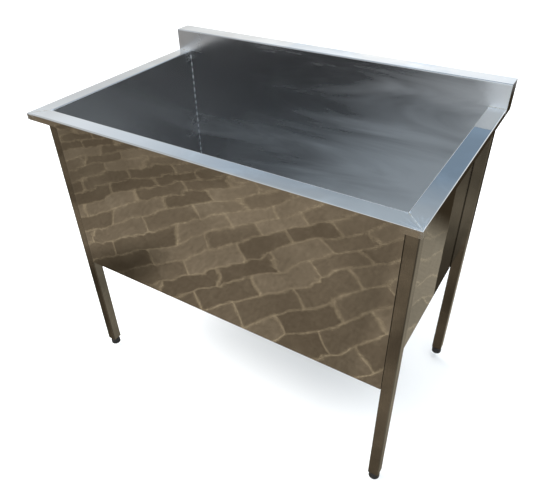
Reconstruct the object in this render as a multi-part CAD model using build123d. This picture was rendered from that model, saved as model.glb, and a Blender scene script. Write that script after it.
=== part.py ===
from build123d import *
import math
import os

os.makedirs("parts", exist_ok=True)

# Pet bathtub: a deep welded basin of bent stainless sheet on four square-tube legs, with a rolled
# rim on three sides, a splashback along the rear, levelling feet and a basket-strainer waste.
# Millimetres. +X runs to the bath's right, +Y to the rear (the wall side), +Z up. The origin is on
# the floor, below the middle of the bath's outline.

# ---- overall sizes
bath_length = 1050.0        # X, over the side lips
bath_width = 667.0          # Y, from the front lip to the back of the splashback
rim_height = 875.0          # floor to rim
basin_depth = 500.0         # rim to the underside of the basin's walls

# ---- sheet metal
sheet = 1.2
bend_radius = 2.0           # inside radius of each fold
rim_width = 45.0            # outer face of the lip to the basin's inner face
lip_height = 18.0
splash_height = 63.0        # above the rim
splash_return = 55.0        # flat top of the splashback, front to back
splash_lip = 18.0           # short fold down its rear
floor_fall = 8.0            # from the edge of the floor to the waste
flat_margin = 23.0          # locknut's lugs to the edge of the square flat round the waste
weld_size = 2.5             # leg of the fillet welds inside the basin
weld_bead = 0.3             # how far the dressed rim welds stand proud
weld_width = 2.4            # width of the dressed rim welds
stitch_length = 25.0        # of the stitch welds that hold the legs
stitch_count = 3            # stitches on each leg
seam_bead = 3.5             # radius of the half-round stitches on the rear legs' flush seams

# ---- legs
leg_size = 30.0             # square tube
leg_wall = 1.5
leg_corner = 3.0            # outside corner radius of the tube
leg_ground_gap = 25.0       # floor to the bottom of the tube

# ---- levelling feet
insert_length = 25.0        # threaded plug in the bottom of each leg
insert_gap = 0.05           # plug to tube, each side
insert_corner = 2.0         # the plug's own corner radius
stem_radius = 5.0           # M10 stem, drawn plain
stem_gap = 0.06             # stem to plug, radially
stem_length = 58.0          # above its collar
collar_width = 3.0          # hexagon's corners beyond the stem
collar_height = 5.5
collar_gap = 0.2            # collar to the leg, with the foot screwed right in
neck_step = 1.0             # stem down to its neck, which turns in the pad
neck_gap = 0.08
foot_disc_width = 2.0       # disc on the end of the neck, beyond it, held in the pad
foot_disc_height = 4.0
socket_gap = 0.3            # round the disc, and between collar and pad
pad_radius = 15.0
pad_floor = 6.0             # rubber under the disc

# ---- waste
body_radius = 43.0          # threaded upper part of the waste body
body_wall = 1.5
waste_hole_gap = 2.0        # body to the hole in the basin's floor, radially
flange_overlap = 12.0       # body's flange and the washer, beyond the hole
flange_height = 1.5
seal_height = 1.5           # rubber seal under the flange
body_step_depth = 21.0      # flange top to the ledge that carries the basket
ledge_width = 5.5           # the body narrows by this much to its lower cup
cup_depth = 35.0            # below the ledge
outlet_radius = 22.0        # threaded spigot under the cup
outlet_wall = 2.5
outlet_length = 20.0
washer_height = 3.0         # rubber washer under the floor
washer_gap = 0.2            # washer to body, radially
locknut_width = 15.0        # beyond the body
locknut_height = 10.0
lug_count = 8
lug_height = 4.0            # how far the locknut's lugs stand out
lug_width = 12.0
thread_gap = 0.05           # nuts to the threads they run on, radially
tail_washer_height = 2.0
tail_flange_height = 2.0
tail_flange_width = 2.0     # spigot's radius down to the tube that the coupling nut passes over
tail_step_width = 1.0       # that tube down to the end that a waste hose goes on
tail_wall = 1.5
neck_tube_length = 18.0
tail_length = 60.0
coupling_wall = 7.0         # beyond the spigot
coupling_overlap = 13.0     # coupling nut over the spigot
coupling_lip = 3.5
coupling_ribs = 12
rib_radius = 2.5

# ---- lift-out basket
basket_sheet = 0.8
basket_side_gap = 2.0       # basket to the cup, radially
basket_gap = 0.5            # basket's lip to the body, radially
basket_seat_gap = 0.1       # basket's lip to the ledge it stands on
hole_radius = 2.0
hole_insets = (6.5, 14.0, 22.0)     # basket's side to each ring of holes that its base has room for
hole_pitch = 8.6            # least spacing of the holes along a ring
slot_width = 3.0
slot_margin = 7.1           # slots to the basket's base and to its lip
slot_pitch = 11.8           # least spacing of the slots round the side
knob_pin_radius = 3.0
knob_radius = 8.0
knob_height = 6.0
knob_rise = 12.0            # basket's lip to the top of the knob
stopper_overlap = 4.5       # beyond the outlet's bore
stopper_height = 3.0
stopper_gap = 3.9           # stopper to the bottom of the cup, with the basket seated

# ---- radii and heights worked out from the pieces that they fit
collar_radius = stem_radius + collar_width
neck_radius = stem_radius - neck_step
foot_disc_radius = neck_radius + foot_disc_width
pad_height = leg_ground_gap - collar_gap - collar_height - socket_gap
waste_hole_radius = body_radius + waste_hole_gap
flange_radius = waste_hole_radius + flange_overlap
cup_radius = body_radius - ledge_width
outlet_bore = outlet_radius - outlet_wall
locknut_radius = body_radius + locknut_width
waste_flat = 2 * (locknut_radius + lug_height + flat_margin)
neck_tube_radius = outlet_radius - tail_flange_width
tail_radius = neck_tube_radius - tail_step_width
coupling_radius = outlet_radius + coupling_wall
basket_radius = cup_radius - body_wall - basket_side_gap
stopper_radius = outlet_bore + stopper_overlap

# ---- places worked out from the sizes
left_x = -bath_length / 2
front_y = -bath_width / 2
back_y = bath_width / 2
splash_y = back_y - splash_return           # face of the splashback and of the rear wall
wall_x = bath_length / 2 - rim_width        # inner face of a side wall
wall_front_y = front_y + rim_width          # inner face of the front wall
basin_length = 2 * wall_x
basin_width = splash_y - wall_front_y
basin_mid_y = (wall_front_y + splash_y) / 2
splash_top = rim_height + splash_height
basin_bottom = rim_height - basin_depth
floor_top = basin_bottom + sheet
waste_floor = floor_top - floor_fall        # top of the flat round the waste
outer_bend = bend_radius + sheet
leg_top = rim_height - sheet - bend_radius
leg_x = wall_x + sheet + leg_size / 2
leg_front_y = wall_front_y - sheet + leg_size / 2
leg_rear_y = splash_y + sheet - leg_size / 2
leg_places = {
    "front_left": (-leg_x, leg_front_y),
    "front_right": (leg_x, leg_front_y),
    "rear_left": (-leg_x, leg_rear_y),
    "rear_right": (leg_x, leg_rear_y),
}


def write(name, shape):
    export_step(shape, os.path.join("parts", name + ".step"))


def nearest_vertex(face, point):
    return min(face.vertices(), key=lambda v: math.dist((v.X, v.Y), point))


def bent_profile(outline):
    """Section of a folded sheet: its visible face is the outline, its thickness lies to the right."""
    steps = [(b[0] - a[0], b[1] - a[1]) for a, b in zip(outline, outline[1:])]
    normals = [(dy / math.hypot(dx, dy), -dx / math.hypot(dx, dy)) for dx, dy in steps]
    hidden = [(outline[0][0] + sheet * normals[0][0], outline[0][1] + sheet * normals[0][1])]
    for point, first, second in zip(outline[1:-1], normals, normals[1:]):
        hidden.append((point[0] + sheet * (first[0] + second[0]), point[1] + sheet * (first[1] + second[1])))
    hidden.append((outline[-1][0] + sheet * normals[-1][0], outline[-1][1] + sheet * normals[-1][1]))
    face = make_face(Polyline(*outline, *reversed(hidden), close=True))
    face = fillet([nearest_vertex(face, point) for point in outline[1:-1]], outer_bend)
    return fillet([nearest_vertex(face, point) for point in hidden[1:-1]], bend_radius)


def turned(points):
    """A round piece from its half section, given as (radius, height) points."""
    section = make_face(Plane.XZ * Polyline(*points, close=True))
    return revolve(section, Axis.Z)


def ring(outer, inner, bottom, top):
    return turned([(inner, bottom), (outer, bottom), (outer, top), (inner, top)])


def block(low, high):
    """A box between two corners."""
    size = [b - a for a, b in zip(low, high)]
    middle = [(a + b) / 2 for a, b in zip(low, high)]
    return Pos(*middle) * Box(*size)


def corner_prism():
    """The front rim's share of the plan: both its ends are mitred at 45 degrees."""
    reach = rim_width * 2
    inset = bath_length / 2 - reach
    plan = make_face(Polyline(
        (left_x, front_y),
        (-left_x, front_y),
        (inset, front_y + reach),
        (-inset, front_y + reach),
        close=True))
    return extrude(plan, splash_top)


# ---- basin sheets
def front_panel():
    outline = [
        (front_y, rim_height - lip_height),
        (front_y, rim_height),
        (wall_front_y, rim_height),
        (wall_front_y, basin_bottom),
    ]
    strip = extrude(Plane.YZ * bent_profile(outline), bath_length / 2, both=True)
    return strip & corner_prism()


def left_panel():
    outline = [
        (left_x, rim_height - lip_height),
        (left_x, rim_height),
        (-wall_x, rim_height),
        (-wall_x, basin_bottom),
    ]
    length = splash_y + sheet - front_y
    strip = Pos(0, front_y, 0) * extrude(Plane.XZ * bent_profile(outline), -length)
    rim_end = block(
        (left_x - sheet, splash_y, rim_height - lip_height - sheet),
        (-wall_x - sheet, back_y, rim_height + sheet))
    bend_end = block(
        (-wall_x - sheet, splash_y, rim_height - sheet),
        (-wall_x + sheet, back_y, rim_height + sheet))
    return strip - corner_prism() - rim_end - bend_end


def back_panel():
    """Rear wall and splashback in one sheet, wider above the rim than below it."""
    outline = [
        (splash_y, basin_bottom),
        (splash_y, splash_top),
        (back_y, splash_top),
        (back_y, splash_top - splash_lip),
    ]
    half = bath_length / 2 - sheet
    strip = extrude(Plane.YZ * bent_profile(outline), half, both=True)
    notch = block((wall_x, splash_y - sheet, 0), (half + sheet, splash_y + 2 * sheet, rim_height - sheet))
    return strip - notch - mirror(notch, Plane.YZ)


def splash_end():
    """Plate that closes the left end of the splashback, from its top to the bottom of the lip."""
    bottom = rim_height - lip_height
    corners = [(splash_y, bottom), (splash_y, splash_top), (back_y, splash_top), (back_y, bottom)]
    plate = make_face(Polyline(*corners, close=True))
    plate = fillet([nearest_vertex(plate, point) for point in corners[1:3]], outer_bend)
    return Pos(left_x, 0, 0) * extrude(Plane.YZ * plate, sheet)


def floor_solid(top):
    """Block with a flat top at the given height whose underside falls towards the waste."""
    edge = top - sheet
    rim = block((-wall_x, wall_front_y, edge), (wall_x, splash_y, top))
    fall = loft([
        Pos(0, basin_mid_y, edge) * Rectangle(basin_length, basin_width),
        Pos(0, basin_mid_y, edge - floor_fall) * Rectangle(waste_flat, waste_flat),
    ])
    return rim + fall


def floor_pan():
    hollow = loft([
        Pos(0, basin_mid_y, floor_top) * Rectangle(basin_length, basin_width),
        Pos(0, basin_mid_y, waste_floor) * Rectangle(waste_flat, waste_flat),
    ])
    hole = Pos(0, basin_mid_y, waste_floor) * Cylinder(waste_hole_radius, 4 * sheet)
    return floor_solid(floor_top) - hollow - hole


# ---- welds
def corner_welds():
    """Fillet weld up each inside corner of the basin."""
    bottom = floor_top + weld_size
    height = rim_height - outer_bend - bottom
    inside = block((-wall_x, wall_front_y, bottom), (wall_x, splash_y, rim_height))
    beads = []
    for x in (-wall_x, wall_x):
        for y in (wall_front_y, splash_y):
            rod = Pos(x, y, bottom + height / 2) * Cylinder(weld_size, height)
            beads.append(rod & inside)
    return Compound(children=[bead.solid() for bead in beads])


def floor_weld():
    """Fillet weld round the edge of the floor."""
    outside = block((-wall_x, wall_front_y, floor_top), (wall_x, splash_y, floor_top + weld_size))
    inside = loft([
        Pos(0, basin_mid_y, floor_top) * Rectangle(basin_length - 2 * weld_size, basin_width - 2 * weld_size),
        Pos(0, basin_mid_y, floor_top + weld_size) * Rectangle(basin_length - sheet, basin_width - sheet),
    ])
    return outside - inside


def rim_welds():
    """Dressed welds on the front mitres and where the side rims meet the splashback."""
    run = rim_width * math.sqrt(2) - 2 * outer_bend
    place = Pos((left_x - wall_x) / 2, (front_y + wall_front_y) / 2, rim_height + weld_bead / 2)
    mitre = place * Rot(0, 0, 45) * Box(run, weld_width, weld_bead)
    joint = Pos((left_x - wall_x) / 2, splash_y, rim_height)
    rod = joint * Rot(0, 90, 0) * Cylinder(weld_size / 2, rim_width)
    foot = rod & block((left_x, front_y, rim_height), (-wall_x, splash_y, splash_top))
    pieces = [mitre, mirror(mitre, Plane.YZ), foot, mirror(foot, Plane.YZ)]
    return Compound(children=[piece.solid() for piece in pieces])


def leg_welds():
    """Stitch welds that hold the legs: behind the front legs, and up the rear legs' back seams."""
    behind_front = leg_front_y + leg_size / 2
    behind_rear = leg_rear_y + leg_size / 2
    pieces = []
    for side in (-1, 1):
        x = side * (wall_x + sheet)
        wedge = make_face(Polyline(
            (x, behind_front),
            (x + side * weld_size * 2, behind_front),
            (x, behind_front + weld_size * 2),
            close=True))
        disc = Pos(x, behind_rear) * Circle(seam_bead)
        half_disc = disc & (Pos(x, behind_rear + seam_bead) * Rectangle(2 * seam_bead, 2 * seam_bead))
        for index in range(stitch_count):
            middle = basin_bottom + basin_depth * (index + 0.5) / stitch_count
            low = Pos(0, 0, middle - stitch_length / 2)
            pieces.append((low * extrude(wedge, stitch_length)).solid())
            pieces.append((low * extrude(half_disc, stitch_length)).solid())
    return Compound(children=pieces)


# ---- legs and levelling feet, each made at the origin
def leg():
    outer = RectangleRounded(leg_size, leg_size, leg_corner)
    bore = leg_size - 2 * leg_wall
    inner = RectangleRounded(bore, bore, leg_corner - leg_wall)
    return Pos(0, 0, leg_ground_gap) * extrude(outer - inner, leg_top - leg_ground_gap)


def leg_insert():
    side = leg_size - 2 * leg_wall - 2 * insert_gap
    plug = extrude(RectangleRounded(side, side, insert_corner), insert_length)
    plug = chamfer(plug.faces().sort_by(Axis.Z)[-1].edges(), leg_wall / 2)
    bore = Pos(0, 0, insert_length / 2) * Cylinder(stem_radius + stem_gap, 2 * insert_length)
    return Pos(0, 0, leg_ground_gap) * (plug - bore)


def foot_stem():
    collar_bottom = pad_height + socket_gap
    collar_top = leg_ground_gap - collar_gap
    top = collar_top + stem_length
    bevel = stem_radius / 4
    shaft = turned([
        (0, pad_floor + socket_gap),
        (foot_disc_radius, pad_floor + socket_gap),
        (foot_disc_radius, pad_floor + socket_gap + foot_disc_height),
        (neck_radius, pad_floor + socket_gap + foot_disc_height),
        (neck_radius, collar_bottom),
        (stem_radius, collar_bottom),
        (stem_radius, top - bevel),
        (stem_radius - bevel, top),
        (0, top),
    ])
    collar = Pos(0, 0, collar_bottom) * extrude(RegularPolygon(collar_radius, 6), collar_height)
    return shaft + collar


def foot_pad():
    bevel = pad_radius / 16
    shoulder = pad_height * 0.6
    socket_top = pad_floor + foot_disc_height + 2 * socket_gap
    return turned([
        (0, 0),
        (pad_radius - bevel, 0),
        (pad_radius, bevel),
        (pad_radius, shoulder),
        (pad_radius - 2 * bevel, pad_height - bevel),
        (pad_radius - 3 * bevel, pad_height),
        (neck_radius + neck_gap, pad_height),
        (neck_radius + neck_gap, socket_top),
        (foot_disc_radius + socket_gap, socket_top),
        (foot_disc_radius + socket_gap, pad_floor),
        (0, pad_floor),
    ])


# ---- waste, each piece about its own vertical axis
flange_top = waste_floor + seal_height + flange_height
ledge = flange_top - body_step_depth
cup_bottom = ledge - cup_depth
outlet_bottom = cup_bottom - body_wall - outlet_length
waste_underside = waste_floor - sheet
locknut_top = waste_underside - washer_height
tail_flange_top = outlet_bottom - tail_washer_height
tail_flange_bottom = tail_flange_top - tail_flange_height
tail_step = tail_flange_bottom - neck_tube_length
tail_end = tail_step - tail_length


def drain_seal():
    return ring(flange_radius - seal_height, waste_hole_radius, waste_floor, waste_floor + seal_height)


def drain_body():
    under = flange_top - flange_height
    inner = body_radius - body_wall
    cup_inner = cup_radius - body_wall
    bevel = flange_height / 2
    return turned([
        (inner, flange_top - bevel),
        (inner + bevel, flange_top),
        (flange_radius - bevel, flange_top),
        (flange_radius, flange_top - bevel),
        (flange_radius, under),
        (body_radius, under),
        (body_radius, ledge - body_wall),
        (cup_radius, ledge - body_wall),
        (cup_radius, cup_bottom - body_wall),
        (outlet_radius, cup_bottom - body_wall),
        (outlet_radius, outlet_bottom),
        (outlet_bore, outlet_bottom),
        (outlet_bore, cup_bottom),
        (cup_inner, cup_bottom),
        (cup_inner, ledge),
        (inner, ledge),
    ])


def drain_washer():
    return ring(flange_radius, body_radius + washer_gap, locknut_top, waste_underside)


def drain_locknut():
    bottom = locknut_top - locknut_height
    nut = ring(locknut_radius, body_radius + thread_gap, bottom, locknut_top)
    reach = locknut_radius + lug_height
    lugs = []
    for index in range(lug_count):
        lug = block(
            (locknut_radius - lug_height, -lug_width / 2, bottom),
            (reach, lug_width / 2, locknut_top - locknut_height / 4))
        lugs.append(Rot(0, 0, index * 360 / lug_count) * lug)
    return nut + lugs


def tail_washer():
    return ring(outlet_radius, outlet_bore, tail_flange_top, outlet_bottom)


def tailpiece():
    return turned([
        (neck_tube_radius - tail_wall, tail_flange_top),
        (outlet_radius, tail_flange_top),
        (outlet_radius, tail_flange_bottom),
        (neck_tube_radius, tail_flange_bottom),
        (neck_tube_radius, tail_step),
        (tail_radius, tail_step),
        (tail_radius, tail_end),
        (tail_radius - tail_wall, tail_end),
        (tail_radius - tail_wall, tail_step + tail_wall),
        (neck_tube_radius - tail_wall, tail_step + tail_wall),
    ])


def coupling_nut():
    bottom = tail_flange_bottom - coupling_lip
    top = outlet_bottom + coupling_overlap
    nut = turned([
        (neck_tube_radius + thread_gap, bottom),
        (coupling_radius, bottom),
        (coupling_radius, top),
        (outlet_radius + thread_gap, top),
        (outlet_radius + thread_gap, tail_flange_bottom),
        (neck_tube_radius + thread_gap, tail_flange_bottom),
    ])
    height = top - bottom
    ribs = []
    for index in range(coupling_ribs):
        rib = Pos(coupling_radius, 0, bottom + height / 2) * Cylinder(rib_radius, height)
        ribs.append(Rot(0, 0, index * 360 / coupling_ribs) * rib)
    return nut + ribs


# ---- lift-out basket
basket_lip_bottom = ledge + basket_seat_gap
basket_lip_top = basket_lip_bottom + basket_sheet
basket_base = cup_bottom + stopper_gap + stopper_height


def strainer_basket():
    lip_radius = body_radius - body_wall - basket_gap
    cup = turned([
        (knob_pin_radius, basket_base),
        (basket_radius, basket_base),
        (basket_radius, basket_lip_bottom),
        (lip_radius, basket_lip_bottom),
        (lip_radius, basket_lip_top),
        (basket_radius - basket_sheet, basket_lip_top),
        (basket_radius - basket_sheet, basket_base + basket_sheet),
        (knob_pin_radius, basket_base + basket_sheet),
    ])
    cuts = []
    circles = [basket_radius - inset for inset in hole_insets]
    for circle in circles:
        if circle < knob_pin_radius + hole_pitch / 2:
            continue
        count = int(2 * math.pi * circle / hole_pitch)
        for index in range(count):
            turn = Rot(0, 0, index * 360 / count)
            place = turn * Pos(circle, 0, basket_base)
            cuts.append(place * Cylinder(hole_radius, 4 * basket_sheet))
    slot_middle = (basket_base + basket_lip_bottom) / 2
    slot_height = basket_lip_bottom - basket_base - 2 * slot_margin
    slot_count = int(2 * math.pi * basket_radius / slot_pitch)
    for index in range(slot_count):
        turn = Rot(0, 0, index * 360 / slot_count)
        place = turn * Pos(basket_radius, 0, slot_middle)
        cuts.append(place * Box(4 * basket_sheet, slot_width, slot_height))
    return cup - cuts


def basket_knob():
    top = basket_lip_top + knob_rise
    bevel = knob_height / 4
    return turned([
        (0, basket_base),
        (knob_pin_radius, basket_base),
        (knob_pin_radius, top - knob_height),
        (knob_radius - bevel, top - knob_height),
        (knob_radius, top - knob_height + bevel),
        (knob_radius, top - bevel),
        (knob_radius - bevel, top),
        (0, top),
    ])


def basket_stopper():
    bevel = stopper_height / 3
    bottom = basket_base - stopper_height
    return turned([
        (0, bottom),
        (stopper_radius - bevel, bottom),
        (stopper_radius, bottom + bevel),
        (stopper_radius, basket_base),
        (0, basket_base),
    ])


left = left_panel()
end = splash_end()
write("front_panel", front_panel())
write("back_panel", back_panel())
write("left_panel", left)
write("right_panel", mirror(left, Plane.YZ))
write("floor_pan", floor_pan())
write("splash_end_left", end)
write("splash_end_right", mirror(end, Plane.YZ))
write("corner_welds", corner_welds())
write("floor_weld", floor_weld())
write("rim_welds", rim_welds())
write("leg_welds", leg_welds())

for corner, (x, y) in leg_places.items():
    place = Pos(x, y, 0)
    write("leg_" + corner, place * leg())
    write("leg_insert_" + corner, place * leg_insert())
    write("foot_stem_" + corner, place * foot_stem())
    write("foot_pad_" + corner, place * foot_pad())

waste_place = Pos(0, basin_mid_y, 0)
waste_pieces = (
    drain_seal, drain_body, drain_washer, drain_locknut, tail_washer, tailpiece, coupling_nut,
    strainer_basket, basket_knob, basket_stopper,
)
for piece in waste_pieces:
    write(piece.__name__, waste_place * piece())
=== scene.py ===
import math

import bmesh
import bpy
from mathutils import Matrix, Vector


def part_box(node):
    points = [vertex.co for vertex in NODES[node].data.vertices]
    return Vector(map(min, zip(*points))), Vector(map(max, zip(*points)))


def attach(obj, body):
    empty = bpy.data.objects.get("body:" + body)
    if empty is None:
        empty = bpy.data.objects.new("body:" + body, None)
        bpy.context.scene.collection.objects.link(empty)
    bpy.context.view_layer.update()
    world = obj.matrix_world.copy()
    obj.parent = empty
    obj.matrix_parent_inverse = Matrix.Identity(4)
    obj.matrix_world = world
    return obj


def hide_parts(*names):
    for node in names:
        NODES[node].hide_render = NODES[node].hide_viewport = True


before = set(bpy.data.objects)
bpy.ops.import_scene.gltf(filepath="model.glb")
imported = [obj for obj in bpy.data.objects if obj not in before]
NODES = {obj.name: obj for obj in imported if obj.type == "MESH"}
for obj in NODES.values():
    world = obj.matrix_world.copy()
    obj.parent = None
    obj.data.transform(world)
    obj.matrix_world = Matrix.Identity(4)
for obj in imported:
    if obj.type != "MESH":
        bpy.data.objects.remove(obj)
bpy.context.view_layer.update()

# Everything is in metres, in the frame of the CAD model: +X to the right as seen from the front,
# +Y towards the splashback, +Z up. At rest the feet stand on z = 0.

CORNERS = ("front_left", "front_right", "rear_left", "rear_right")

FRONT_LOW, FRONT_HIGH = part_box("front_panel")
LEFT_LOW, LEFT_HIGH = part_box("left_panel")
SPLASH_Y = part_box("back_panel")[0][1]       # face of the splashback
FLOOR_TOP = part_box("floor_pan")[1][2]       # basin floor, where it meets the walls
RIM_TOP = FRONT_HIGH[2]
RIM_X = -LEFT_LOW[0]                        # outer edge of a side rim
RIM_FRONT_Y = FRONT_LOW[1]                  # outer edge of the front rim
WALL_X = -LEFT_HIGH[0]                      # inner face of a side wall
WALL_FRONT_Y = FRONT_HIGH[1]                # inner face of the front wall
SHEET = 0.0012
FOOT_TRAVEL = 0.025                         # how far a levelling foot screws out


def angles(x, y, z):
    """Turns in degrees about each axis, as Blender wants them."""
    return (math.radians(x), math.radians(y), math.radians(z))


# ---- camera
CAMERA_PLACE = (0.7151, -1.1171, 1.4150)
CAMERA_YAW = 32.52                          # degrees to the left of straight ahead
CAMERA_DOWN = 36.93
CAMERA_ROLL = -1.25
CAMERA_REACH = 50.0
SENSOR = 36.0                               # millimetres, as is the lens
LENS = 35.66


def add_camera():
    """The camera at the photo's place and angle."""
    data = bpy.data.cameras.new("camera")
    data.sensor_width = SENSOR
    data.lens = LENS
    data.clip_end = CAMERA_REACH
    camera = bpy.data.objects.new("camera", data)
    bpy.context.collection.objects.link(camera)
    turn = Matrix.Rotation(math.radians(CAMERA_YAW), 4, "Z")
    tilt = Matrix.Rotation(math.radians(90.0 - CAMERA_DOWN), 4, "X")
    roll = Matrix.Rotation(math.radians(CAMERA_ROLL), 4, "Z")
    camera.matrix_world = Matrix.Translation(CAMERA_PLACE) @ turn @ tilt @ roll
    bpy.context.scene.camera = camera


# ---- node helpers
class Tree:
    """Short names for adding and joining shader nodes."""

    def __init__(self, tree):
        self.tree = tree

    def add(self, kind, **values):
        node = self.tree.nodes.new(kind)
        for name, value in values.items():
            setattr(node, name, value)
        return node

    def link(self, out, into):
        self.tree.links.new(out, into)

    def feed(self, socket, value):
        """Joins an output to a socket, or sets the socket to a constant."""
        if isinstance(value, bpy.types.NodeSocket):
            self.link(value, socket)
        else:
            socket.default_value = value

    def place(self):
        return self.add("ShaderNodeTexCoord").outputs["Object"]

    def split(self, vector):
        node = self.add("ShaderNodeSeparateXYZ")
        self.link(vector, node.inputs[0])
        return node.outputs

    def join(self, **parts):
        node = self.add("ShaderNodeCombineXYZ")
        for axis, value in parts.items():
            self.link(value, node.inputs[axis])
        return node.outputs[0]

    def math(self, operation, first, second=0.0):
        node = self.add("ShaderNodeMath", operation=operation)
        self.feed(node.inputs[0], first)
        self.feed(node.inputs[1], second)
        return node.outputs[0]

    def plus(self, first, second):
        return self.math("ADD", first, second)

    def minus(self, first, second):
        return self.math("SUBTRACT", first, second)

    def times(self, first, second):
        return self.math("MULTIPLY", first, second)

    def most(self, first, second):
        return self.math("MAXIMUM", first, second)

    def size(self, value):
        return self.math("ABSOLUTE", value)

    def length(self, first, second):
        squares = self.plus(self.times(first, first), self.times(second, second))
        return self.math("SQRT", squares)

    def range(self, value, low, high, to_low=0.0, to_high=1.0, smooth=True):
        """Fades from to_low to to_high as the value goes from low to high."""
        node = self.add("ShaderNodeMapRange")
        node.interpolation_type = "SMOOTHSTEP" if smooth else "LINEAR"
        self.feed(node.inputs[0], value)
        for index, number in enumerate((low, high, to_low, to_high), start=1):
            self.feed(node.inputs[index], number)
        return node.outputs[0]

    def mix(self, factor, first, second):
        """Blends two colours."""
        node = self.add("ShaderNodeMix", data_type="RGBA")
        self.feed(node.inputs[0], factor)
        self.feed(node.inputs[6], first)
        self.feed(node.inputs[7], second)
        return node.outputs[2]

    def mix_values(self, factor, first, second):
        node = self.add("ShaderNodeMix", data_type="FLOAT")
        self.feed(node.inputs[0], factor)
        self.feed(node.inputs[2], first)
        self.feed(node.inputs[3], second)
        return node.outputs[0]

    def noise(self, vector, scale, detail=3.0, roughness=0.5, distortion=0.0):
        node = self.add("ShaderNodeTexNoise")
        self.feed(node.inputs["Vector"], vector)
        node.inputs["Scale"].default_value = scale
        node.inputs["Detail"].default_value = detail
        node.inputs["Roughness"].default_value = roughness
        node.inputs["Distortion"].default_value = distortion
        return node.outputs[0]

    def mapped(self, vector, scale=(1.0, 1.0, 1.0), turn=(0.0, 0.0, 0.0)):
        node = self.add("ShaderNodeMapping")
        self.feed(node.inputs["Vector"], vector)
        node.inputs["Scale"].default_value = scale
        node.inputs["Rotation"].default_value = turn
        return node.outputs[0]

    def bump(self, height, strength, distance, normal=None):
        node = self.add("ShaderNodeBump")
        node.inputs["Strength"].default_value = strength
        node.inputs["Distance"].default_value = distance
        self.feed(node.inputs["Height"], height)
        if normal is not None:
            self.link(normal, node.inputs["Normal"])
        return node.outputs[0]


# ---- the world that the steel mirrors
# Each direction is a unit vector, so a height of 0.5 is 30 degrees above the horizon and one of
# -0.5 is 30 degrees below it. A fade is where it starts and where it is complete.
WHITE = (1.0, 1.0, 1.0, 1.0)
SKY_WHITE = (1.00, 1.03, 1.05, 1.0)
SKY_GREY = (0.76, 0.90, 1.04, 1.0)
SKY_BLUE = (0.72, 1.00, 1.34, 1.0)
BLUE_FADE = (0.28, 0.38)
GREY_FADE = (0.46, 0.53)
WHITE_TO_LEFT = 0.8
LEFT_FADE = (-0.28, -0.80)
SKYLINE = (-0.06, 0.02)

LOW_SKY = 1.45                              # brightness, and then (from, to, new brightness)
SKY_BANDS = ((0.28, 0.42, 0.39), (0.46, 0.56, 0.78))
LOW_SKY_LEFT = 0.82
SKY_BANDS_LEFT = ((0.30, 0.37, 1.16), (0.37, 0.60, 0.72))
HORIZON_TO_SIDES = 0.66
SIDES_FADE = (0.45, 0.75)
HORIZON_FADE = (0.10, 0.21)

GROUND_DARK = (0.105, 0.080, 0.052, 1.0)
GROUND_PALE = (0.46, 0.48, 0.50, 1.0)
GROUND_SHADED = (0.040, 0.030, 0.018, 1.0)
GROUND_GREY = (0.290, 0.275, 0.220, 1.0)
GREY_TO_RIGHT = 0.55
RIGHT_FADE = (0.05, 0.12)
PALE_FADE = (-0.34, -0.28)
STONE_DARK = (0.235, 0.184, 0.126, 1.0)
STONE_LIGHT = (0.460, 0.372, 0.262, 1.0)
STONE_JOINT = (0.980, 0.800, 0.530, 1.0)
STONE_LENGTH = 0.170                        # for ground one unit below the bath
STONE_WIDTH = 0.085
STONE_TURN = 52.0                           # degrees
JOINT_WIDTH = 0.0021
JOINT_WARP = 0.07
GRIT = 0.62
PATCHES = 0.30
LEAST_DEPTH = 0.08                          # keeps the stones finite at the horizon

# Shadows on the ground: how dark each is, and the fades that bound it.
SHADOWS = (
    (1.00, ("Y", 0.798, 0.836), ("Z", -0.60, -0.54)),
    (0.65, ("X", -0.20, -0.14), ("Z", -0.76, -0.71), ("Z", -0.50, -0.60), ("Y", 0.0, -0.3)),
    (0.82, ("X", -0.56, -0.62), ("Z", -0.55, -0.60)),
    (0.35, ("Z", -0.79, -0.84)),
    (0.30, ("Z", -0.52, -0.46)),
    (0.20, ("X", -0.33, -0.24), ("X", -0.215, -0.24)),
)


def ground_stones(t, way):
    """Level ground of rough laid stones below the bath."""
    depth = t.most(t.times(way["Z"], -1.0), LEAST_DEPTH)
    flat = t.join(X=t.math("DIVIDE", way["X"], depth), Y=t.math("DIVIDE", way["Y"], depth))
    warp = t.add("ShaderNodeTexNoise")
    warp.inputs["Scale"].default_value = 3.5
    warp.inputs["Detail"].default_value = 2.0
    t.link(flat, warp.inputs["Vector"])
    shift = t.add("ShaderNodeVectorMath", operation="MULTIPLY_ADD")
    t.link(warp.outputs["Color"], shift.inputs[0])
    shift.inputs[1].default_value = (JOINT_WARP, JOINT_WARP, 0.0)
    t.link(flat, shift.inputs[2])
    stones = t.add("ShaderNodeTexBrick")
    stones.offset = 0.5
    t.link(t.mapped(shift.outputs[0], turn=angles(0.0, 0.0, STONE_TURN)), stones.inputs["Vector"])
    stones.inputs["Color1"].default_value = STONE_DARK
    stones.inputs["Color2"].default_value = STONE_LIGHT
    stones.inputs["Mortar"].default_value = STONE_JOINT
    stones.inputs["Scale"].default_value = 1.0
    stones.inputs["Mortar Size"].default_value = JOINT_WIDTH
    stones.inputs["Mortar Smooth"].default_value = 0.5
    stones.inputs["Brick Width"].default_value = STONE_LENGTH
    stones.inputs["Row Height"].default_value = STONE_WIDTH
    grit = t.range(t.noise(flat, 75.0, detail=8.0, roughness=0.85), 0.34, 0.66)
    patches = t.range(t.noise(flat, 6.0, detail=4.0, roughness=0.6), 0.35, 0.70)
    colour = t.mix(t.times(grit, GRIT), stones.outputs["Color"], GROUND_DARK)
    return t.mix(t.times(patches, PATCHES), colour, GROUND_DARK)


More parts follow.
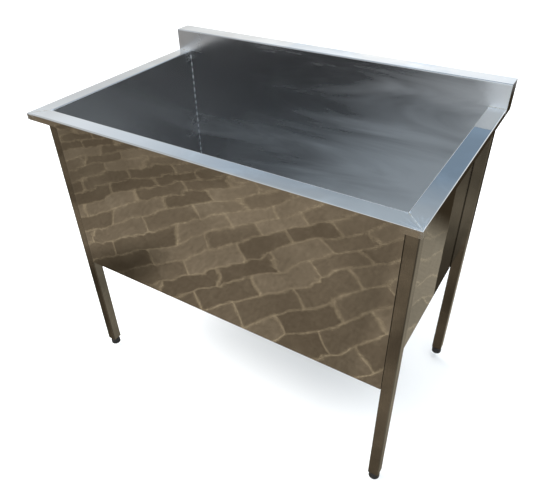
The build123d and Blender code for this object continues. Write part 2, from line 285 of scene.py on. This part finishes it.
def shaded_ground(t, way):
    """The stones, greyer to the right, with their shadows, and pale in the distance."""
    grey = t.times(t.range(way["X"], *RIGHT_FADE), GREY_TO_RIGHT)
    ground = t.mix(grey, ground_stones(t, way), GROUND_GREY)
    shaded = 0.0
    for strength, *fades in SHADOWS:
        shadow = 1.0
        for axis, start, end in fades:
            shadow = t.times(shadow, t.range(way[axis], start, end))
        shaded = t.most(shaded, t.times(shadow, strength))
    ground = t.mix(shaded, ground, GROUND_SHADED)
    return t.mix(t.range(way["Z"], *PALE_FADE), ground, GROUND_PALE)


def banded(t, height, value, bands):
    """A value that fades into a new one at each band of height."""
    for start, end, into in bands:
        value = t.mix_values(t.range(height, start, end), value, into)
    return value


def add_world():
    """Soft surroundings for the mirror finish: bright round the bath, blue-grey overhead, taupe
    stones below. The camera itself sees plain white."""
    world = bpy.data.worlds.new("studio")
    bpy.context.scene.world = world
    world.use_nodes = True
    world.node_tree.nodes.clear()
    t = Tree(world.node_tree)
    way = t.split(t.add("ShaderNodeTexCoord").outputs["Generated"])
    up = way["Z"]
    left = t.range(way["X"], *LEFT_FADE)

    brightness = banded(t, up, LOW_SKY, SKY_BANDS)
    brightness = t.mix_values(left, brightness, banded(t, up, LOW_SKY_LEFT, SKY_BANDS_LEFT))
    sideways = t.range(t.size(way["X"]), *SIDES_FADE)
    horizon = t.mix_values(sideways, brightness, HORIZON_TO_SIDES)
    brightness = t.mix_values(t.range(up, *HORIZON_FADE), horizon, brightness)
    sky = t.mix(t.range(up, *BLUE_FADE), SKY_WHITE, SKY_BLUE)
    sky = t.mix(t.range(up, *GREY_FADE), sky, SKY_GREY)
    sky = t.mix(t.times(left, WHITE_TO_LEFT), sky, SKY_WHITE)

    above = t.range(up, *SKYLINE)
    colour = t.mix(above, shaded_ground(t, way), sky)
    strength = t.mix_values(above, 1.0, brightness)
    seen = t.add("ShaderNodeLightPath").outputs["Is Camera Ray"]
    background = t.add("ShaderNodeBackground")
    t.link(t.mix(seen, colour, WHITE), background.inputs["Color"])
    t.link(t.mix_values(seen, strength, 1.0), background.inputs["Strength"])
    output = t.add("ShaderNodeOutputWorld")
    t.link(background.outputs[0], output.inputs["Surface"])


# ---- lamps and floor, which the steel doesn't mirror
SUN_COLOUR = (1.0, 0.97, 0.94)
FLOOR_REACH = 60.0
FLOOR_GAP = 0.0005                          # below the lowest place that a pad reaches
FLOOR_TINTS = ((0.92, 0.915, 0.90, 1), (0.95, 0.945, 0.93, 1))


def add_light(name, kind, power):
    data = bpy.data.lights.new(name, kind)
    data.energy = power
    lamp = bpy.data.objects.new(name, data)
    bpy.context.collection.objects.link(lamp)
    lamp.visible_glossy = False
    return lamp


def add_soft_sun(power, spread, turn):
    """Even light from above that whitens the floor with a faint shadow."""
    lamp = add_light("soft_top", "SUN", power)
    lamp.data.angle = math.radians(spread)
    lamp.data.color = SUN_COLOUR
    lamp.rotation_euler = turn


def add_lamp(name, place, aim, size, power):
    """A large soft lamp that lights the floor and the dark parts."""
    lamp = add_light(name, "AREA", power)
    lamp.data.shape = "DISK"
    lamp.data.size = size
    lamp.location = place
    lamp.rotation_euler = (Vector(aim) - Vector(place)).to_track_quat("-Z", "Y").to_euler()


def add_floor():
    """A pale floor just below the lowest place that the feet reach, so that it never hides a
    pad."""
    mesh = bpy.data.meshes.new("floor")
    low = -FOOT_TRAVEL - FLOOR_GAP
    sides = ((-1, -1), (1, -1), (1, 1), (-1, 1))
    corners = [(FLOOR_REACH * x, FLOOR_REACH * y, low) for x, y in sides]
    mesh.from_pydata(corners, [], [(0, 1, 2, 3)])
    floor = bpy.data.objects.new("floor", mesh)
    bpy.context.collection.objects.link(floor)
    material, t, shader = new_material("floor_pale")
    cloud = t.noise(t.place(), 1.5, detail=3.0)
    t.link(t.mix(cloud, *FLOOR_TINTS), shader.inputs["Base Color"])
    shader.inputs["Roughness"].default_value = 0.9
    shader.inputs["Specular IOR Level"].default_value = 0.1
    mesh.materials.append(material)
    floor.visible_glossy = False


# ---- materials
# A pair is the clear and the cloudy colour or roughness of a finish.
OUTER_TINTS = ((0.585, 0.575, 0.560, 1.0), (0.66, 0.66, 0.65, 1.0))
OUTER_ROUGH = (0.003, 0.014)
INNER_TINTS = ((0.475, 0.465, 0.462, 1.0), (0.90, 0.90, 0.895, 1.0))
INNER_ROUGH = (0.20, 0.46)
DRESSED = (0.80, 0.81, 0.82, 1.0)
DRESSED_ROUGH = (0.20, 0.40)
TUBE_TINTS = ((0.36, 0.350, 0.335, 1.0), (0.46, 0.445, 0.425, 1.0))
TUBE_ROUGH = (0.03, 0.10)
WELD_TINTS = ((0.88, 0.88, 0.87, 1), (0.66, 0.61, 0.52, 1))
WELD_ROUGH = (0.18, 0.42)
# Painted highlights up the corner beads: dull grey and white stretches by turns, and their
# roughness.
GLINT_DASH_TINTS = ((0.36, 0.36, 0.36, 1), (1.0, 1.0, 1.0, 1))
GLINT_DASH_ROUGH = (0.30, 0.62)
GLINT_DASH_SPACING = 0.022                         # from one painted highlight on a corner bead to the next
SATIN_TINTS = ((0.60, 0.60, 0.60), (0.52, 0.52, 0.53))
ZINC_TINTS = ((0.58, 0.58, 0.57), (0.45, 0.45, 0.44))
RUBBER_TINTS = ((0.008, 0.008, 0.008), (0.016, 0.015, 0.014))
BLACK_TINTS = ((0.016, 0.016, 0.016), (0.028, 0.028, 0.027))
WHITE_TINTS = ((0.74, 0.74, 0.71), (0.68, 0.67, 0.63))

# Where the rim was dressed after welding. A pair fades from bare to fully dressed.
MITRE_REACH = (0.075, 0.018)                # from the rim's outer corner
MITRE_CORE = (0.030, 0.016)
INNER_CORNER = (0.0075, 0.0035)             # from the rim's inner corner
SPLASH_SIDES = (0.046, 0.010)               # to either side of the splashback's joint
SPLASH_JOINT = 0.006                        # of the joint before the splashback's face
SPLASH_TOP = (0.004, 0.020)                 # fades out over these heights above the rim
RIM_DEPTH = 0.030
FAN = {"turn": 9.0, "reach": 26.0, "height": 40.0}      # fineness of the grinder's fanned marks
MITRE_RAGGED = 0.030
SPLASH_RAGGED = 0.020

# Haze inside: smears that lean, growing to the right and towards the floor.
SMEAR_TURN = angles(0.0, -24.0, 15.0)
SMEAR_STRETCH = (1.3, 3.0, 7.5)
SMEAR_RIGHT = (-0.16, 0.31)
SMEAR_DOWN = (-0.06, 0.22)
SMEAR_FADE = (0.44, 0.86)
END_HAZE = (WALL_X - 0.075, WALL_X + 0.030)
END_RAGGED = 0.030
SCRATCH_TURN = angles(0.0, 0.0, 45.0)
SCRATCH_STRETCH = (40.0, 500.0, 40.0)

# Polishing lines, long one way and fine the other two.
ALONG_X = (40.0, 900.0, 900.0)
ALONG_Y = (900.0, 40.0, 900.0)
ALONG_Z = (900.0, 900.0, 40.0)


def new_material(name):
    material = bpy.data.materials.new(name)
    material.use_nodes = True
    shader = material.node_tree.nodes["Principled BSDF"]
    return material, Tree(material.node_tree), shader


def inside_mask(t, at):
    """1 on the faces that look into the basin and on the face of the splashback, 0 elsewhere."""
    half = SHEET / 2
    across = t.math("LESS_THAN", t.size(at["X"]), WALL_X + half)
    across = t.most(across, t.math("GREATER_THAN", at["Z"], RIM_TOP + half))
    behind_front = t.math("GREATER_THAN", at["Y"], WALL_FRONT_Y - half)
    before_back = t.math("LESS_THAN", at["Y"], SPLASH_Y + half)
    return t.times(across, t.times(behind_front, before_back))


def dressed_mask(t, at, ragged):
    """Where the rim was ground after welding, and the fanned marks that the grinder left."""
    across = t.minus(RIM_X, t.size(at["X"]))
    back = t.minus(at["Y"], RIM_FRONT_Y)
    from_corner = t.length(across, back)
    fan = t.join(
        X=t.times(t.math("ARCTAN2", across, back), FAN["turn"]),
        Y=t.times(from_corner, FAN["reach"]),
        Z=t.times(at["Z"], FAN["height"]),
    )
    marks = t.range(t.noise(fan, 1.0, detail=4.0, roughness=0.7), 0.40, 0.62)
    reach = t.plus(from_corner, t.times(ragged, MITRE_RAGGED))
    mitre = t.most(t.times(t.range(reach, *MITRE_REACH), marks), t.range(reach, *MITRE_CORE))

    inner_across = t.minus(across, RIM_X - WALL_X)
    inner_back = t.minus(back, WALL_FRONT_Y - RIM_FRONT_Y)
    mitre = t.most(mitre, t.range(t.length(inner_across, inner_back), *INNER_CORNER))

    off_splash = t.size(t.minus(at["Y"], SPLASH_Y - SPLASH_JOINT))
    off_splash = t.plus(off_splash, t.times(ragged, SPLASH_RAGGED))
    splash = t.range(off_splash, *SPLASH_SIDES)
    splash = t.times(splash, t.math("LESS_THAN", across, RIM_X - WALL_X + SHEET))
    splash = t.times(splash, t.range(marks, 0.0, 1.0, 0.55, 0.95))
    on_rim = t.math("GREATER_THAN", at["Z"], RIM_TOP - RIM_DEPTH)
    low = t.range(at["Z"], RIM_TOP + SPLASH_TOP[0], RIM_TOP + SPLASH_TOP[1], 1.0, 0.0)
    return t.times(on_rim, t.most(mitre, t.times(splash, low)))


def splash_haze(t, at, ragged):
    """Soft lighter haze on the splashback's face towards its ends, weaker at the left one."""
    haze = t.range(t.plus(t.size(at["X"]), t.times(ragged, END_RAGGED)), *END_HAZE)
    rightward = t.range(at["X"], -0.1, 0.1, 0.35, 1.0)
    on_face = t.math("GREATER_THAN", at["Z"], RIM_TOP)
    return t.times(t.times(haze, rightward), on_face)


def basin_steel(name, grain, wave=1.0):
    """Mirror outside, hazy and streaked inside, with ground patches beside the rim's welds."""
    material, t, shader = new_material(name)
    place = t.place()
    at = t.split(place)
    ragged = t.noise(place, 60.0, detail=3.0, roughness=0.6)
    inside = inside_mask(t, at)
    dressed = dressed_mask(t, at, ragged)
    cloud = t.range(t.noise(place, 5.0, detail=4.0, roughness=0.55, distortion=1.2), 0.45, 0.75)
    lines = t.noise(t.mapped(place, grain), 1.0, detail=3.0, roughness=0.6)

    leaning = t.mapped(place, SMEAR_STRETCH, SMEAR_TURN)
    smears = t.noise(leaning, 1.0, detail=4.0, roughness=0.55, distortion=1.1)
    rightward = t.range(at["X"], -WALL_X, WALL_X, *SMEAR_RIGHT, smooth=False)
    downward = t.range(at["Z"], RIM_TOP, FLOOR_TOP, *SMEAR_DOWN, smooth=False)
    streak = t.range(t.plus(smears, t.plus(rightward, downward)), *SMEAR_FADE)
    streak = t.most(streak, splash_haze(t, at, ragged))

    outer_rough = t.plus(t.mix_values(cloud, *OUTER_ROUGH), t.times(lines, 0.006))
    inner_rough = t.plus(t.mix_values(streak, *INNER_ROUGH), t.times(lines, 0.06))
    rough = t.mix_values(inside, outer_rough, inner_rough)
    rough = t.mix_values(dressed, rough, t.range(lines, 0.3, 0.7, *DRESSED_ROUGH))
    t.link(rough, shader.inputs["Roughness"])
    colour = t.mix(inside, t.mix(cloud, *OUTER_TINTS), t.mix(streak, *INNER_TINTS))
    t.link(t.mix(dressed, colour, DRESSED), shader.inputs["Base Color"])
    shader.inputs["Metallic"].default_value = 1.0

    broad = t.noise(place, 2.2, detail=1.0, roughness=0.4)
    dents = t.noise(place, 7.0, detail=2.0, roughness=0.45, distortion=0.4)
    scratches = t.noise(t.mapped(place, SCRATCH_STRETCH, SCRATCH_TURN), 1.0, roughness=0.6)
    line_height = t.times(lines, t.mix_values(inside, 0.12, 0.6))
    normal = t.bump(broad, 0.4 * wave, 0.02)
    normal = t.bump(dents, 0.22 * wave, 0.004, normal)
    normal = t.bump(line_height, 0.10, 0.0004, normal)
    normal = t.bump(t.times(scratches, dressed), 0.25, 0.0006, normal)
    t.link(normal, shader.inputs["Normal"])
    return material


def tube_steel(name, grain):
    """Polished square tube: lengthwise polishing lines and a cloudy haze."""
    material, t, shader = new_material(name)
    place = t.place()
    cloud = t.range(t.noise(place, 9.0, detail=4.0, roughness=0.6, distortion=0.8), 0.42, 0.72)
    lines = t.noise(t.mapped(place, grain), 1.0, detail=5.0, roughness=0.7)
    rough = t.plus(t.mix_values(cloud, *TUBE_ROUGH), t.times(lines, 0.04))
    t.link(rough, shader.inputs["Roughness"])
    t.link(t.mix(cloud, *TUBE_TINTS), shader.inputs["Base Color"])
    shader.inputs["Metallic"].default_value = 1.0
    normal = t.bump(t.noise(place, 6.0, detail=1.0), 0.15, 0.004)
    t.link(t.bump(lines, 0.12, 0.0004, normal), shader.inputs["Normal"])
    return material


def weld_metal(name, dashes=0.0):
    """Bright bead with a straw tint in places. With a length for dashes, it instead has painted
    highlights: white stretches by turns with dull grey ones up its height."""
    material, t, shader = new_material(name)
    place = t.place()
    grain = t.noise(place, 900.0, detail=3.0)
    if dashes:
        run = t.times(t.split(place)["Z"], 2 * math.pi / dashes)
        run = t.plus(run, t.times(t.noise(place, 20.0), 5.0))
        # Painted highlights: white stretches by turns with dull grey ones up the bead.
        bright = t.range(t.math("SINE", run), -0.5, 0.2)
        colour = t.mix(bright, *GLINT_DASH_TINTS)
        rough = t.mix_values(bright, *GLINT_DASH_ROUGH)
    else:
        tint = t.range(t.noise(place, 90.0, detail=3.0), 0.35, 0.65)
        colour = t.mix(tint, *WELD_TINTS)
        rough = t.range(grain, 0.3, 0.7, *WELD_ROUGH)
    t.link(colour, shader.inputs["Base Color"])
    t.link(rough, shader.inputs["Roughness"])
    t.link(t.bump(grain, 0.3, 0.0002), shader.inputs["Normal"])
    shader.inputs["Metallic"].default_value = 1.0
    return material


def plain_material(name, tints, roughness, metallic=0.0, bump=0.0003, scale=300.0):
    """Two close tints in soft clouds, with a fine speckle in roughness and height."""
    material, t, shader = new_material(name)
    place = t.place()
    speck = t.noise(place, scale, detail=4.0)
    cloud = t.noise(place, scale * 0.07, detail=3.0)
    clear, cloudy = ((*tint, 1) for tint in tints)
    t.link(t.mix(cloud, clear, cloudy), shader.inputs["Base Color"])
    rough = t.range(speck, 0.3, 0.7, roughness * 0.8, roughness * 1.2)
    t.link(rough, shader.inputs["Roughness"])
    t.link(t.bump(speck, 0.4, bump), shader.inputs["Normal"])
    shader.inputs["Metallic"].default_value = metallic
    return material


def give(material, *names):
    """Puts one material on CAD meshes."""
    for name in names:
        mesh = NODES[name].data
        mesh.materials.clear()
        mesh.materials.append(material)


def dress_cad():
    """Materials for the CAD meshes that stay visible, apart from the welds."""
    front = basin_steel("steel_front", ALONG_X, wave=0.5)
    side = basin_steel("steel_side", ALONG_Y, wave=0.4)
    back = basin_steel("steel_back", ALONG_X)
    tube = tube_steel("steel_tube", ALONG_Z)
    satin = plain_material("steel_satin", SATIN_TINTS, 0.28, metallic=1.0, bump=0.0001, scale=900.0)
    rubber = plain_material("rubber", RUBBER_TINTS, 0.55)
    plastic = plain_material("plastic_black", BLACK_TINTS, 0.45)
    white = plain_material("plastic_white", WHITE_TINTS, 0.4)
    give(front, "front_panel")
    give(side, "left_panel", "right_panel", "splash_end_left", "splash_end_right")
    give(back, "back_panel", "floor_pan")
    give(satin, "drain_body", "strainer_basket", "basket_knob")
    give(rubber, "drain_seal", "drain_washer", "tail_washer", "basket_stopper")
    give(white, "drain_locknut", "tailpiece", "coupling_nut")
    for corner in CORNERS:
        give(tube, "leg_" + corner)
        give(plastic, "leg_insert_" + corner)
        give(rubber, "foot_pad_" + corner)


# ---- weld beads
RIPPLE = 0.0032             # from one puddle of the weld to the next
STEP = 0.0008               # along the bead, from one section to the next
ARC_STEPS = 6
CORNER_BEAD = 0.0025        # legs of the fillet
LEAST_SIZE = 0.78           # of a bead's full size; the puddles and the waver make up the rest
PUDDLE = 0.16
WAVER = 0.06
WAVER_RATE = 280.0


def add_piece(name, points, faces, material, body, node):
    """A closed mesh that rides on a body in place of a CAD node."""
    mesh = bpy.data.meshes.new(name)
    mesh.from_pydata(points, [], faces)
    solid = bmesh.new()
    solid.from_mesh(mesh)
    bmesh.ops.recalc_face_normals(solid, faces=solid.faces)
    solid.to_mesh(mesh)
    solid.free()
    for face in mesh.polygons:
        face.use_smooth = True
    mesh.materials.append(material)
    piece = bpy.data.objects.new(name, mesh)
    bpy.context.collection.objects.link(piece)
    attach(piece, body)
    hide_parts(node)
    return piece


def lay_bead(points, faces, start, end, first, second, size):
    """A closed fillet in the corner between two faces, scaled like fish skin along its run."""
    start, end, first, second = Vector(start), Vector(end), Vector(first), Vector(second)
    length = (end - start).length
    count = max(2, round(length / STEP))
    ring = ARC_STEPS + 2
    base = len(points)
    for index in range(count + 1):
        run = length * index / count
        puddle = 1.0 - (run / RIPPLE) % 1.0
        waver = math.sin(run * WAVER_RATE + start.x * 40.0)
        reach = size * (LEAST_SIZE + PUDDLE * puddle + WAVER * waver)
        middle = start.lerp(end, index / count)
        points.append(middle)
        for part in range(ARC_STEPS + 1):
            turn = math.pi / 2 * part / ARC_STEPS
            points.append(middle + reach * (math.cos(turn) * first + math.sin(turn) * second))
    for index in range(count):
        low = base + index * ring
        high = low + ring
        for part in range(ring):
            after = (part + 1) % ring
            faces.append((low + part, low + after, high + after, high + part))
    faces.append(tuple(base + part for part in range(ring)))
    faces.append(tuple(base + count * ring + part for part in range(ring)))


def add_corner_beads(material):
    """The beads up the four inner corners of the basin."""
    low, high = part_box("corner_welds")
    points, faces = [], []
    for x in (-WALL_X, WALL_X):
        for y in (WALL_FRONT_Y, SPLASH_Y):
            start, end = (x, y, low[2]), (x, y, high[2])
            inward_x = (-math.copysign(1.0, x), 0, 0)
            inward_y = (0, -math.copysign(1.0, y), 0)
            lay_bead(points, faces, start, end, inward_x, inward_y, CORNER_BEAD)
    add_piece("corner_beads", points, faces, material, "bath", "corner_welds")


def add_floor_bead(material):
    """The bead round the basin's floor."""
    low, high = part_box("floor_weld")
    size = high[2] - low[2]
    points, faces = [], []
    for x in (low[0], high[0]):
        inward = (-math.copysign(1.0, x), 0, 0)
        lay_bead(points, faces, (x, low[1], low[2]), (x, high[1], low[2]), inward, (0, 0, 1), size)
    for y, inward in ((low[1], (0, 1, 0)), (high[1], (0, -1, 0))):
        lay_bead(points, faces, (low[0], y, low[2]), (high[0], y, low[2]), inward, (0, 0, 1), size)
    add_piece("floor_bead", points, faces, material, "bath", "floor_weld")


# ---- levelling screws, with the same sizes as in the CAD model
PITCH = 0.0015
THREAD_DEPTH = 0.0009
THREAD_SIDES = 24
THREAD_STEPS = 6            # sections in one pitch
RUN_OUT = 0.0015            # over which the thread grows to its depth
TIP_BEVEL = 0.0010
SCREW_RADIUS = 0.0050
NECK_RADIUS = 0.0040
DISC_RADIUS = 0.0060        # the disc that the pad is moulded round
DISC_HEIGHT = 0.0040
COLLAR_RADIUS = 0.0080      # to a corner of the hexagon
COLLAR_HEIGHT = 0.0055
COLLAR_ROUND = 0.93         # of that radius, at the top and bottom faces
COLLAR_GAP = 0.0002         # to the leg's end at rest
BEVEL = 0.0006


def add_screw(corner, material):
    """Levelling screw with a real thread, its hexagon collar, and the neck and disc in the pad."""
    node = "foot_stem_" + corner
    low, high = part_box(node)
    middle = Vector(((low[0] + high[0]) / 2, (low[1] + high[1]) / 2, 0))
    collar_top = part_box("leg_" + corner)[0][2] - COLLAR_GAP
    collar_low = collar_top - COLLAR_HEIGHT
    disc_top = low[2] + DISC_HEIGHT
    points, faces = [], []

    def section(height, radius_of):
        for side in range(THREAD_SIDES):
            turn = 2 * math.pi * side / THREAD_SIDES
            radius = radius_of(turn)
            across = (radius * math.cos(turn), radius * math.sin(turn), height)
            points.append(middle + Vector(across))

    def hexagonal(turn):
        off_flat = turn % (math.pi / 3) - math.pi / 6
        return COLLAR_RADIUS * math.cos(math.pi / 6) / math.cos(off_flat)

    def rounded(turn):
        return min(hexagonal(turn), COLLAR_RADIUS * COLLAR_ROUND)

    turned = (
        (low[2], DISC_RADIUS - BEVEL),
        (low[2] + BEVEL, DISC_RADIUS),
        (disc_top - BEVEL, DISC_RADIUS),
        (disc_top, DISC_RADIUS - BEVEL),
        (disc_top, NECK_RADIUS),
        (collar_low, NECK_RADIUS),
    )
    for height, radius in turned:
        section(height, lambda turn: radius)
    section(collar_low, rounded)
    section(collar_low + BEVEL, hexagonal)
    section(collar_top - BEVEL, hexagonal)
    section(collar_top, rounded)
    count = round((high[2] - collar_top) / PITCH * THREAD_STEPS)
    for index in range(count + 1):
        height = collar_top + (high[2] - collar_top) * index / count
        fade = min(1.0, (height - collar_top) / RUN_OUT)
        tip = TIP_BEVEL * max(0.0, 1.0 - (high[2] - height) / TIP_BEVEL)

        def threaded(turn):
            phase = ((height / PITCH) - turn / (2 * math.pi)) % 1.0
            return SCREW_RADIUS - tip - THREAD_DEPTH * fade * abs(2 * phase - 1)

        section(height, threaded)
    rings = len(points) // THREAD_SIDES
    for ring in range(rings - 1):
        for side in range(THREAD_SIDES):
            after = (side + 1) % THREAD_SIDES
            a, b = ring * THREAD_SIDES, (ring + 1) * THREAD_SIDES
            faces.append((a + side, a + after, b + after, b + side))
    faces.append(tuple(range(THREAD_SIDES)))
    faces.append(tuple((rings - 1) * THREAD_SIDES + side for side in range(THREAD_SIDES)))
    name = "screw_" + corner
    piece = add_piece(name, points, faces, material, "stem_" + corner, node)
    for face in piece.data.polygons:
        face.use_smooth = False


# ---- the scene
MAX_BOUNCES = 24            # the basin's walls mirror each other many times
GLOSSY_BOUNCES = 20

add_camera()
add_world()
add_lamp("key", place=(-1.5, -2.0, 4.5), aim=(0, 0, 0), size=4.0, power=160.0)
add_soft_sun(power=3.4, spread=100.0, turn=angles(12.0, -14.0, 0.0))
add_floor()
dress_cad()

bead_metal = weld_metal("weld")
give(bead_metal, "rim_welds", "leg_welds")
# The corner beads carry painted highlights in white stretches up their height.
add_corner_beads(weld_metal("weld_painted_glints", dashes=GLINT_DASH_SPACING))
add_floor_bead(bead_metal)
zinc = plain_material("zinc", ZINC_TINTS, 0.35, metallic=1.0, bump=0.0001, scale=700.0)
for corner in CORNERS:
    add_screw(corner, zinc)

bpy.context.scene.view_settings.view_transform = "Standard"
cycles = bpy.context.scene.cycles
cycles.max_bounces = MAX_BOUNCES
cycles.glossy_bounces = GLOSSY_BOUNCES
